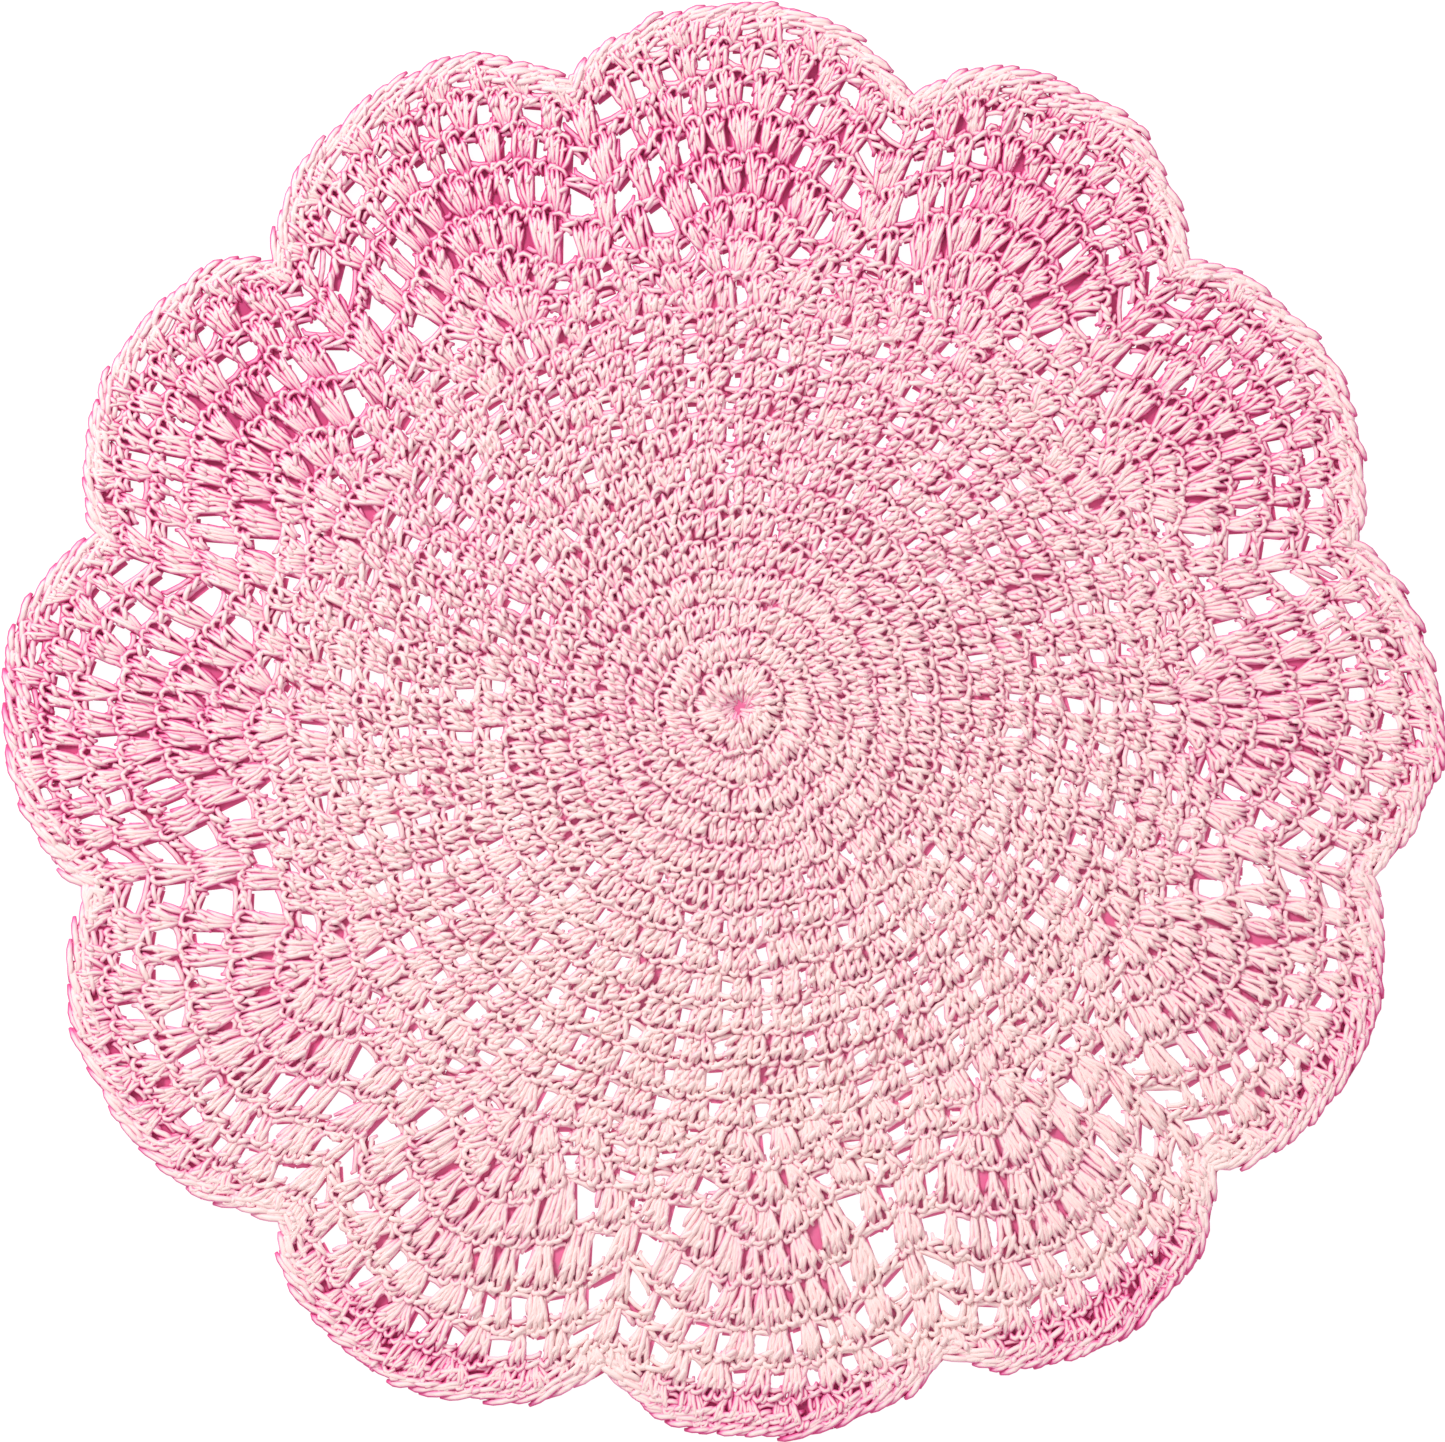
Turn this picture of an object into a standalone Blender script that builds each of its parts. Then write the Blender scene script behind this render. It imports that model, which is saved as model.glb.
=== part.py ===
"""Crocheted doily: one flat sheet of twelve petals round a mesh, with its larger gaps cut through.

The work is charted as it is crocheted. A place on it has three numbers: the petal it belongs
to (0 to 11, clockwise from the top), its share of the way from the petal's middle line to the
notch beside it (-1 to 1), and its round (0 at the centre, 13 at the last mesh round, 24 at the
edge chain). Three tables of measured sizes, in millimetres and degrees, turn that into a place.
The doily lies on z = 0, with its first round on the Z axis and the photograph's top towards +Y.
"""
import math
import random
from collections import namedtuple

import bpy

MM = 0.001

THICKNESS_MM = 2.2
PETAL_COUNT = 12
LAST_MESH_ROUND = 13
LAST_PETAL_ROUND = 23
EDGE_ROUND = 24

# How a petal's rounds bow: 1 would be straight lines to the notch, 2 a parabola.
BOW = 2.2
# The stitches lean, so each round is turned a little from the last, this much over the mesh.
MESH_TURN_DEG = 6.0

POINTS_PER_PETAL = 18
UNEVEN_SEED = 24
UNEVEN_SIZE = 0.12
UNEVEN_SHIFT_MM = 0.4

YARN_COLOUR = (0.86, 0.50, 0.53, 1.0)
YARN_ROUGHNESS = 0.9

# Top of each mesh round at the reference petal, from the centre out.
MESH_TOP_MM = (0.0, 9.4, 16.1, 22.6, 29.0, 35.5, 42.0, 48.4, 55.1, 61.8, 67.9, 74.3, 81.0, 87.3)

# Top of each petal round at the reference petal: on its middle line and in the notch beside it.
Top = namedtuple("Top", "round axis_mm notch_mm")
PETAL_TOPS = (
    Top(13, 87.7, 87.7),
    Top(14, 94.0, 93.3),
    Top(15, 100.2, 99.2),
    Top(16, 105.9, 105.4),
    Top(17, 112.8, 111.7),
    Top(18, 119.4, 122.1),
    Top(19, 126.3, 131.1),
    Top(20, 133.8, 138.6),
    Top(21, 141.4, 140.1),
    Top(22, 148.7, 141.4),
    Top(23, 155.6, 142.6),
    Top(24, 157.4, 143.8),
)

# No two petals are the same: the middle line's angle at the mesh and at the tip, clockwise from
# the top, the mesh's and the tip's distance from the centre, and the notch after the petal.
Petal = namedtuple("Petal", "axis_deg tip_deg mesh_mm tip_mm notch_deg notch_mm")
PETALS = (
    Petal(0.5, 0.5, 83.1, 147.0, 15.6, 133.0),
    Petal(30.0, 30.0, 83.5, 147.6, 45.0, 132.6),
    Petal(60.0, 60.0, 83.5, 143.2, 74.5, 133.6),
    Petal(90.0, 92.3, 86.0, 146.8, 104.7, 136.6),
    Petal(119.0, 121.0, 86.0, 148.7, 133.8, 139.0),
    Petal(147.0, 149.5, 86.7, 153.3, 161.8, 142.2),
    Petal(176.3, 177.5, 87.3, 152.2, 191.4, 141.6),
    Petal(206.3, 208.6, 87.7, 157.4, 221.8, 143.5),
    Petal(235.7, 237.0, 87.7, 155.4, 254.6, 141.4),
    Petal(267.0, 270.8, 85.2, 153.5, 285.0, 138.6),
    Petal(298.0, 299.3, 84.6, 149.3, 314.0, 135.1),
    Petal(330.0, 331.8, 83.5, 149.0, 345.0, 135.7),
)

# The largest gaps of one petal: round, share of the way to the notch, width and height.
Gap = namedtuple("Gap", "round share width_mm height_mm")
PETAL_GAPS = (
    Gap(12.5, 0.00, 4.2, 4.0),
    Gap(12.5, -0.50, 4.2, 4.0),
    Gap(12.5, 0.50, 4.2, 4.0),
    Gap(12.5, 1.00, 4.2, 4.0),
    Gap(13.4, -0.68, 6.0, 2.7),
    Gap(13.4, 0.68, 6.0, 2.7),
    Gap(13.9, 0.00, 4.6, 3.6),
    Gap(14.3, -0.80, 5.8, 3.2),
    Gap(14.3, 0.80, 5.8, 3.2),
    Gap(14.5, -0.35, 4.2, 3.4),
    Gap(14.5, 0.35, 4.2, 3.4),
    Gap(15.3, -0.84, 5.0, 3.8),
    Gap(15.3, 0.84, 5.0, 3.8),
    Gap(15.4, -0.48, 5.0, 3.2),
    Gap(15.4, 0.48, 5.0, 3.2),
    Gap(17.5, -0.82, 5.6, 6.4),
    Gap(17.6, 0.87, 5.6, 6.4),
    Gap(18.5, -0.83, 5.2, 6.4),
    Gap(18.6, 0.91, 5.2, 6.4),
    Gap(19.6, -0.83, 5.8, 5.8),
    Gap(19.6, 0.92, 5.6, 5.8),
    Gap(20.5, -0.36, 4.2, 5.0),
    Gap(20.5, -0.14, 4.0, 5.0),
    Gap(20.5, 0.08, 4.0, 5.0),
    Gap(20.5, 0.30, 4.2, 5.0),
)

# A gap's outline as shares of its width and height: a flat foot and a narrower head.
Corner = namedtuple("Corner", "across up")
GAP_CORNERS = (
    Corner(-0.40, -0.50),
    Corner(0.40, -0.50),
    Corner(0.50, 0.05),
    Corner(0.26, 0.50),
    Corner(-0.26, 0.50),
    Corner(-0.50, 0.05),
)


def mix(start, end, share):
    return start + (end - start) * share


def top_of_round(heights, work_round):
    """Height at a whole or part round, from a list with one height a round."""
    low = min(int(work_round), len(heights) - 2)
    return mix(heights[low], heights[low + 1], work_round - low)


def rise(column, work_round):
    """How far a round is from the mesh (0) to the edge (1), down one column of PETAL_TOPS."""
    heights = [getattr(top, column) for top in PETAL_TOPS]
    height = top_of_round(heights, work_round - LAST_MESH_ROUND)
    return (height - heights[0]) / (heights[-1] - heights[0])


def seam_after(index):
    """Angle at the mesh, and mesh radius, where a petal meets the next one."""
    petal = PETALS[index % PETAL_COUNT]
    after = PETALS[(index + 1) % PETAL_COUNT]
    step = (after.axis_deg - petal.axis_deg) % 360.0
    return petal.axis_deg + step / 2.0, (petal.mesh_mm + after.mesh_mm) / 2.0


def notch_beside(index, share):
    """Mesh angle, mesh radius, edge angle and edge radius of the notch on that side."""
    before = index if share > 0.0 else index - 1
    seam_deg, seam_mm = seam_after(before)
    notch = PETALS[before % PETAL_COUNT]
    return seam_deg, seam_mm, notch.notch_deg, notch.notch_mm


def near_angle(angle, reference):
    """The same angle, written within half a turn of the reference."""
    return reference + (angle - reference + 180.0) % 360.0 - 180.0


def place(index, share, work_round):
    """Place in millimetres of a point of the chart."""
    petal = PETALS[index]
    seam_deg, seam_mm, notch_deg, notch_mm = notch_beside(index, share)
    seam_deg = near_angle(seam_deg, petal.axis_deg)
    notch_deg = near_angle(notch_deg, petal.axis_deg)
    part = abs(share)
    if work_round <= LAST_MESH_ROUND:
        grown = work_round / LAST_MESH_ROUND
        local_mm = mix(petal.mesh_mm, seam_mm, part)
        stretch = mix(1.0, local_mm / MESH_TOP_MM[-1], grown * grown)
        radius = top_of_round(MESH_TOP_MM, work_round) * stretch
        turned = MESH_TURN_DEG * (1.0 - grown)
        angle = mix(petal.axis_deg, seam_deg, part) - turned
    else:
        grown = (work_round - LAST_MESH_ROUND) / (LAST_PETAL_ROUND - LAST_MESH_ROUND)
        axis_mm = mix(petal.mesh_mm, petal.tip_mm, rise("axis_mm", work_round))
        side_mm = mix(seam_mm, notch_mm, rise("notch_mm", work_round))
        radius = mix(axis_mm, side_mm, part ** BOW)
        axis_deg = mix(petal.axis_deg, petal.tip_deg, grown)
        side_deg = mix(seam_deg, notch_deg, grown)
        angle = mix(axis_deg, side_deg, part)
    turn = math.radians(angle)
    return radius * math.sin(turn), radius * math.cos(turn)


def edge_outline():
    """The doily's own outline, petal by petal, from notch to notch."""
    points = []
    for index in range(PETAL_COUNT):
        for step in range(POINTS_PER_PETAL):
            swing = math.pi * step / POINTS_PER_PETAL
            points.append(place(index, -math.cos(swing), EDGE_ROUND))
    return points


def gap_outline(index, gap, chance):
    """One gap, turned to lie along its round, a little larger, smaller or moved by chance."""
    here = place(index, gap.share, gap.round)
    probe = math.copysign(0.06, gap.share)
    inward = place(index, gap.share - probe, gap.round)
    along_x = (here[0] - inward[0]) * math.copysign(1.0, gap.share)
    along_y = (here[1] - inward[1]) * math.copysign(1.0, gap.share)
    length = math.hypot(along_x, along_y)
    along_x /= length
    along_y /= length
    width = gap.width_mm * (1.0 + chance.uniform(-UNEVEN_SIZE, UNEVEN_SIZE))
    height = gap.height_mm * (1.0 + chance.uniform(-UNEVEN_SIZE, UNEVEN_SIZE))
    centre_x = here[0] + chance.uniform(-UNEVEN_SHIFT_MM, UNEVEN_SHIFT_MM)
    centre_y = here[1] + chance.uniform(-UNEVEN_SHIFT_MM, UNEVEN_SHIFT_MM)
    points = []
    for corner in GAP_CORNERS:
        across = corner.across * width
        up = corner.up * height
        x = centre_x + across * along_x - up * along_y
        y = centre_y + across * along_y + up * along_x
        points.append((x, y))
    return points


def add_loop(curve, points_mm):
    """One closed run of straight lines on the flat curve."""
    spline = curve.splines.new("POLY")
    spline.points.add(len(points_mm) - 1)
    for point, (x, y) in zip(spline.points, points_mm):
        point.co = (x * MM, y * MM, 0.0, 1.0)
    spline.use_cyclic_u = True


def yarn_material():
    material = bpy.data.materials.new("pink cotton yarn")
    material.use_nodes = True
    shader = material.node_tree.nodes["Principled BSDF"]
    shader.inputs["Base Color"].default_value = YARN_COLOUR
    shader.inputs["Roughness"].default_value = YARN_ROUGHNESS
    shader.inputs["Metallic"].default_value = 0.0
    return material


def make_doily(collection):
    """The sheet: a flat curve of the outline with every gap in it, filled and given thickness."""
    curve = bpy.data.curves.new("doily", "CURVE")
    curve.dimensions = "2D"
    curve.fill_mode = "BOTH"
    curve.extrude = THICKNESS_MM * MM / 2.0
    add_loop(curve, edge_outline())
    chance = random.Random(UNEVEN_SEED)
    for index in range(PETAL_COUNT):
        for gap in PETAL_GAPS:
            add_loop(curve, gap_outline(index, gap, chance))
    curve.materials.append(yarn_material())
    doily = bpy.data.objects.new("doily", curve)
    doily.location.z = THICKNESS_MM * MM / 2.0
    collection.objects.link(doily)
    return doily


def main():
    for leftover in list(bpy.data.objects):
        bpy.data.objects.remove(leftover)
    collection = bpy.data.collections.new("Crocheted doily")
    bpy.context.scene.collection.children.link(collection)
    make_doily(collection)


main()
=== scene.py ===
"""Pink crocheted doily, laid flat on a pale floor and seen from straight above.

Every double crochet and every chain is yarn of its own: tubes on paths through small tables of
knots, laid out from the chart that the solid's outline comes from. A place on the chart is a
turn and a round. The turn counts half petals clockwise, so 2k is the middle line of petal k and
2k + 1 the notch after it. The round counts from the centre: 13 is the top of the last mesh
round, 21 the top of the last petal round and 22 the outer rim.
"""
import math
from collections import namedtuple

import bpy
import numpy as np
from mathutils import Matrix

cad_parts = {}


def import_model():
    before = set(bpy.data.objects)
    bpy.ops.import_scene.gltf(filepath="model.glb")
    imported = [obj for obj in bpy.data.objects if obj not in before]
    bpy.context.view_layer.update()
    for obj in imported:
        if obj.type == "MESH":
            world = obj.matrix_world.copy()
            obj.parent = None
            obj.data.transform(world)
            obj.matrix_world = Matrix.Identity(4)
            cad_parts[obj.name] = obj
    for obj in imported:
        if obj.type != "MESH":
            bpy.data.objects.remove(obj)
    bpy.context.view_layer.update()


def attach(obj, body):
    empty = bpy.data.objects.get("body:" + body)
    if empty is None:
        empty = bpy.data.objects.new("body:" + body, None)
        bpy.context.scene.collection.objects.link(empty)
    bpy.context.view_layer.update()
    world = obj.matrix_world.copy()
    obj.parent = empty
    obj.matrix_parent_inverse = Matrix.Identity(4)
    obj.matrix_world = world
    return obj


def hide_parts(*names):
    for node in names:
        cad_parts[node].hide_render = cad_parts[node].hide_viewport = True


MM = 0.001
PETAL_COUNT = 12
LAST_MESH_ROUND = 13
LAST_PETAL_ROUND = 21
EDGE_ROUND = 22
BOW = 2.2
MESH_TURN_DEG = 6.0

YARN_RADIUS_MM = 0.63
SEED = 11

# How far work by hand strays: slow and quick drift of the whole cloth, then each stitch's lean,
# shift, bend and rise, and the same of each strand of the top lines.
SLOW_DRIFT_MM = 0.34
QUICK_DRIFT_MM = 0.22
LEAN_MM = 1.00
SHIFT_MM = 0.20
BEND_MM = 0.17
RISE_MM = 0.20
LINK_SHIFT_MM = 0.30
LINK_BEND_MM = 0.15
LINK_RISE_MM = 0.17
# The openings stray along their round, by so many turns in the close rounds and in the others.
CLOSE_ROUNDS = 6
CLOSE_STRAY_TURNS = 0.010
OPEN_STRAY_TURNS = 0.022
# Least and most of an opening's charted width.
MESH_WIDTHS = (0.70, 1.30)
PETAL_WIDTHS = (0.52, 1.04)

MESH_TOP_MM = (0.0, 9.4, 16.1, 22.6, 29.0, 35.5, 42.0, 48.4, 55.1, 61.8, 67.9, 74.3, 81.0, 87.3)

# Top of each petal round: on the petal's middle line and in the notch beside it. A round arcs over
# the petal's root as far as its reach, as a share of the way to the notch, and its stitches fan out.
Top = namedtuple("Top", "round axis_mm notch_mm reach fan")
PETAL_TOPS = (
    Top(13, 87.7, 87.7, 0.45, 0.00),
    Top(14, 96.6, 92.6, 0.45, 0.50),
    Top(15, 105.2, 97.8, 0.52, 0.45),
    Top(16, 114.2, 103.4, 0.68, 0.34),
    Top(17, 123.6, 109.6, 0.86, 0.23),
    Top(18, 132.8, 118.0, 1.00, 0.17),
    Top(19, 141.4, 128.0, 1.00, 0.13),
    Top(20, 148.9, 136.8, 1.00, 0.09),
    Top(21, 155.6, 142.0, 1.00, 0.06),
    Top(22, 157.4, 143.8, 1.00, 0.00),
)

Petal = namedtuple("Petal", "axis_deg tip_deg mesh_mm tip_mm notch_deg notch_mm")
PETALS = (
    Petal(0.5, 0.5, 83.1, 147.0, 15.6, 133.0),
    Petal(30.0, 30.0, 83.5, 147.6, 45.0, 132.6),
    Petal(60.0, 60.0, 83.5, 143.2, 74.5, 133.6),
    Petal(90.0, 92.3, 86.0, 146.8, 104.7, 136.6),
    Petal(119.0, 121.0, 86.0, 148.7, 133.8, 139.0),
    Petal(147.0, 149.5, 86.7, 153.3, 161.8, 142.2),
    Petal(176.3, 177.5, 87.3, 152.2, 191.4, 141.6),
    Petal(206.3, 208.6, 87.7, 157.4, 221.8, 143.5),
    Petal(235.7, 237.0, 87.7, 155.4, 254.6, 141.4),
    Petal(267.0, 270.8, 85.2, 153.5, 285.0, 138.6),
    Petal(298.0, 299.3, 84.6, 149.3, 314.0, 135.1),
    Petal(330.0, 331.8, 83.5, 149.0, 345.0, 135.7),
)

# Mesh rounds: how many openings the round has, the stitches between two, the part of the way from
# one to the next that is open, and the part of the openings that are drawn shut.
Mesh = namedtuple("Mesh", "round gaps stitches open_part shut_part")
MESH_ROUNDS = (
    Mesh(1, 12, 2, 0.00, 1.00),
    Mesh(2, 12, 4, 0.02, 1.00),
    Mesh(3, 12, 5, 0.03, 1.00),
    Mesh(4, 12, 7, 0.04, 0.90),
    Mesh(5, 24, 4, 0.09, 0.70),
    Mesh(6, 24, 4, 0.14, 0.50),
    Mesh(7, 36, 3, 0.20, 0.40),
    Mesh(8, 36, 4, 0.22, 0.30),
    Mesh(9, 48, 3, 0.25, 0.25),
    Mesh(10, 48, 3, 0.25, 0.15),
    Mesh(11, 48, 3, 0.25, 0.10),
    Mesh(12, 48, 4, 0.25, 0.10),
    Mesh(13, 48, 4, 0.25, 0.05),
)

# Openings in one petal's rounds: the turn that each lies at and how many turns wide it is. Where
# both is 1 it has a twin on the petal's other side.
Opening = namedtuple("Opening", "round turn wide both")
PETAL_OPENINGS = (
    Opening(14, 0.00, 0.08, 0),
    Opening(14, 0.66, 0.14, 1),
    Opening(15, 0.14, 0.05, 1),
    Opening(15, 0.38, 0.08, 1),
    Opening(15, 0.80, 0.13, 1),
    Opening(16, 0.12, 0.02, 1),
    Opening(16, 0.32, 0.02, 1),
    Opening(16, 0.53, 0.10, 1),
    Opening(16, 0.87, 0.11, 1),
    Opening(17, 0.00, 0.01, 0),
    Opening(17, 0.20, 0.02, 1),
    Opening(17, 0.42, 0.04, 1),
    Opening(17, 0.70, 0.10, 1),
    Opening(17, 1.00, 0.10, 0),
    Opening(18, 0.12, 0.02, 1),
    Opening(18, 0.28, 0.02, 1),
    Opening(18, 0.45, 0.06, 1),
    Opening(18, 0.63, 0.07, 1),
    Opening(18, 0.84, 0.13, 1),
    Opening(19, -0.54, 0.09, 0),
    Opening(19, -0.37, 0.07, 0),
    Opening(19, -0.17, 0.06, 0),
    Opening(19, 0.05, 0.07, 0),
    Opening(19, 0.28, 0.08, 0),
    Opening(19, 0.50, 0.09, 0),
    Opening(19, 0.69, 0.07, 1),
    Opening(19, 0.88, 0.13, 1),
    Opening(20, -0.49, 0.09, 0),
    Opening(20, -0.27, 0.08, 0),
    Opening(20, -0.05, 0.07, 0),
    Opening(20, 0.18, 0.07, 0),
    Opening(20, 0.42, 0.08, 0),
    Opening(20, 0.68, 0.09, 1),
    Opening(20, 0.89, 0.12, 1),
    Opening(21, -0.47, 0.07, 0),
    Opening(21, -0.23, 0.07, 0),
    Opening(21, 0.02, 0.08, 0),
    Opening(21, 0.30, 0.08, 0),
    Opening(21, 0.56, 0.07, 0),
    Opening(21, 0.78, 0.07, 1),
)
# Openings narrower than this are drawn shut to a part of their width, and so are some others.
SHUT_MM = 1.3
SHUT_PART = 0.08
SHUT_WIDTH = 0.3
# A run of stitches is this much narrower at each side of its feet, and at most so many turns.
FOOT_DRAW = 0.13
FOOT_DRAW_TURNS = 0.028
HALF_PETAL = math.pi / PETAL_COUNT
# In these petals the last round's openings are all shut.
SHUT_RIM_PETALS = (4, 5, 6, 7, 8)
STITCH_MM = 2.1
LINK_MM = 2.3
# The notch and the stitches beside it lean clockwise, most in these rounds.
LEAN_ROUNDS = (16.0, 18.0, 20.0, 21.0)
LEAN_TURN = 0.04

# One double crochet in its own cell: across from -0.5 to 0.5, along from foot 0 to head 1.
Knot = namedtuple("Knot", "across along height_mm")
LEFT_LEG = (
    Knot(-0.16, -0.14, 0.50),
    Knot(-0.20, 0.10, 0.62),
    Knot(-0.26, 0.38, 1.50),
    Knot(-0.29, 0.70, 1.80),
    Knot(-0.26, 0.98, 1.30),
)
RIGHT_LEG = (
    Knot(0.18, -0.14, 0.50),
    Knot(0.22, 0.10, 0.68),
    Knot(0.25, 0.40, 1.60),
    Knot(0.29, 0.74, 1.80),
    Knot(0.26, 0.98, 1.30),
)
LOW_WRAP = (
    Knot(-0.50, 0.10, 0.80),
    Knot(-0.15, 0.22, 1.90),
    Knot(0.15, 0.34, 2.00),
    Knot(0.52, 0.48, 0.95),
)
# In the petals the legs rise at once from their feet, and the low wrap lies deeper, between the
# shells.
TALL_LEFT_LEG = (
    Knot(-0.16, -0.08, 0.50),
    Knot(-0.20, 0.08, 1.15),
    Knot(-0.27, 0.36, 1.80),
    Knot(-0.30, 0.70, 1.85),
    Knot(-0.26, 0.98, 1.30),
)
TALL_RIGHT_LEG = (
    Knot(0.18, -0.08, 0.50),
    Knot(0.22, 0.08, 1.20),
    Knot(0.26, 0.38, 1.90),
    Knot(0.30, 0.74, 1.85),
    Knot(0.26, 0.98, 1.30),
)
DEEP_WRAP = (
    Knot(-0.44, -0.06, 0.70),
    Knot(-0.14, 0.18, 1.25),
    Knot(0.14, 0.42, 1.35),
    Knot(0.44, 0.66, 0.95),
)
HIGH_WRAP = (
    Knot(-0.56, 0.46, 1.00),
    Knot(-0.17, 0.58, 2.25),
    Knot(0.18, 0.70, 2.25),
    Knot(0.56, 0.84, 1.00),
)

# Strands along a round's top line: across is along the line, out is away from the centre.
Bend = namedtuple("Bend", "across out_mm height_mm")
HOOK_STRAND = (
    Bend(-0.54, -1.35, 0.90),
    Bend(-0.36, -0.15, 1.55),
    Bend(0.00, 0.36, 1.80),
    Bend(0.36, 0.12, 1.65),
    Bend(0.52, -0.95, 0.90),
)
TALL_HOOK_STRAND = (
    Bend(-0.46, -2.30, 0.90),
    Bend(-0.42, -0.60, 1.65),
    Bend(-0.04, 0.38, 1.90),
    Bend(0.36, 0.12, 1.70),
    Bend(0.52, -1.05, 0.90),
)
OUTER_STRAND = (
    Bend(-0.75, 0.85, 0.90),
    Bend(0.00, 0.35, 1.60),
    Bend(0.70, -0.65, 0.90),
)
CHAIN_STRAND = (
    Bend(-0.85, -0.95, 0.95),
    Bend(-0.25, -0.65, 1.90),
    Bend(0.25, 0.30, 1.95),
    Bend(0.80, 0.45, 0.95),
)
# The yarn that rounds off an opening: under its head and over its foot.
UNDER_STRAND = (
    Bend(-0.62, -2.30, 0.75),
    Bend(-0.42, -1.35, 1.35),
    Bend(0.42, -1.25, 1.35),
    Bend(0.62, -2.20, 0.75),
)
OVER_STRAND = (
    Bend(-0.62, 1.80, 0.75),
    Bend(-0.40, 0.90, 1.20),
    Bend(0.40, 0.90, 1.20),
    Bend(0.62, 1.90, 0.75),
)
ROPE_STRAND = (
    Bend(-0.95, -0.70, 0.85),
    Bend(-0.40, -0.45, 1.75),
    Bend(0.25, 0.35, 1.70),
    Bend(0.95, 0.60, 0.80),
)

# A round's top line bows out over each run of stitches and dips at each opening: how far in rounds,
# and where along the run.
MESH_BOW_OUT = 0.10
PETAL_BOW_OUT = 0.16
BOW_AT = (0.0, 0.3, 0.7, 1.0)
BOW_SHAPE = (-0.5, 0.4, 0.4, -0.5)


def mix(start, end, share):
    return start + (end - start) * share


def column(rows, name):
    """One named column of a table, as an array."""
    return np.array([getattr(row, name) for row in rows], dtype=float)


def near_angle(angle, reference):
    """The same angles, written within half a turn of the reference."""
    return reference + (angle - reference + 180.0) % 360.0 - 180.0


AXIS_DEG = column(PETALS, "axis_deg")
TIP_DEG = column(PETALS, "tip_deg")
MESH_MM = column(PETALS, "mesh_mm")
TIP_MM = column(PETALS, "tip_mm")
NOTCH_DEG = column(PETALS, "notch_deg")
NOTCH_MM = column(PETALS, "notch_mm")
NEXT_AXIS_DEG = near_angle(np.roll(AXIS_DEG, -1), AXIS_DEG)
SEAM_DEG = (AXIS_DEG + NEXT_AXIS_DEG) / 2.0
SEAM_MM = (MESH_MM + np.roll(MESH_MM, -1)) / 2.0


def beside(after, before_side, petal, axis):
    """A notch value on the side that a point lies: of its own petal, or of the one before."""
    value = np.where(before_side, np.roll(after, 1)[petal], after[petal])
    return value if axis is None else near_angle(value, axis)


def drift(places):
    """The same places, each moved up to a millimetre: work by hand is never quite on its chart.

    Both moves are sums of sines of the place: two with waves 20 to 45 mm long and one of 9 mm.
    """
    x = places[..., 0]
    y = places[..., 1]
    move_x = np.sin(190.0 * y + 110.0 * x) + np.sin(250.0 * x - 170.0 * y + 2.0)
    move_y = np.sin(210.0 * x - 90.0 * y + 1.0) + np.sin(160.0 * y + 240.0 * x)
    move_x = move_x * SLOW_DRIFT_MM + np.sin(610.0 * y - 330.0 * x) * QUICK_DRIFT_MM
    move_y = move_y * SLOW_DRIFT_MM + np.sin(640.0 * x + 290.0 * y + 3.0) * QUICK_DRIFT_MM
    return places + np.stack((move_x, move_y), axis=-1) * MM


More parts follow.
